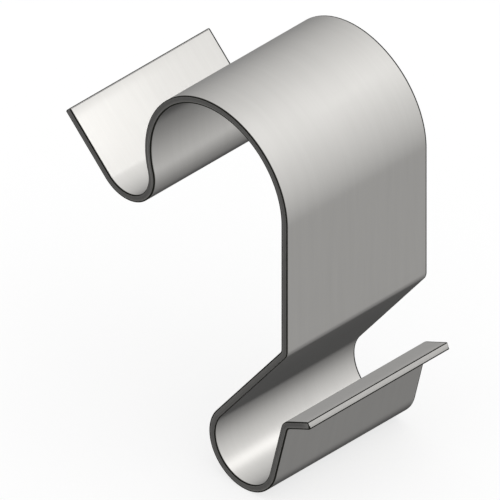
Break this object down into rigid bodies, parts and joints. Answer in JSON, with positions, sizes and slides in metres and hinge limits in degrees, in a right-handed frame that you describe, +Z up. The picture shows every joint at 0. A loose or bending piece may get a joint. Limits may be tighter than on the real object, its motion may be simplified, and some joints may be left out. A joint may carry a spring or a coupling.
{
  "type": "cable tray cover clip",
  "caption": "One-piece spring strip clip: a wire seat with a thumb lip below, a slanted and an upright run, and a dome on top that turns down into a hook pressing on the cover.",
  "frame": {"origin": "axis of the wire seat, half way across the strip", "axes": "+Z up as the clip hangs on a tray's side wire, +Y along the wire and across the strip, +X out of the tray, on the side where the lip sticks out"},
  "size_m": [0.0261, 0.015, 0.034],
  "materials": {
    "spring_steel": "satin, cold rolled, sheared edges"
  },
  "bodies": {
    "root": {"cover_clip": "spring_steel"}
  },
  "joints": []
}
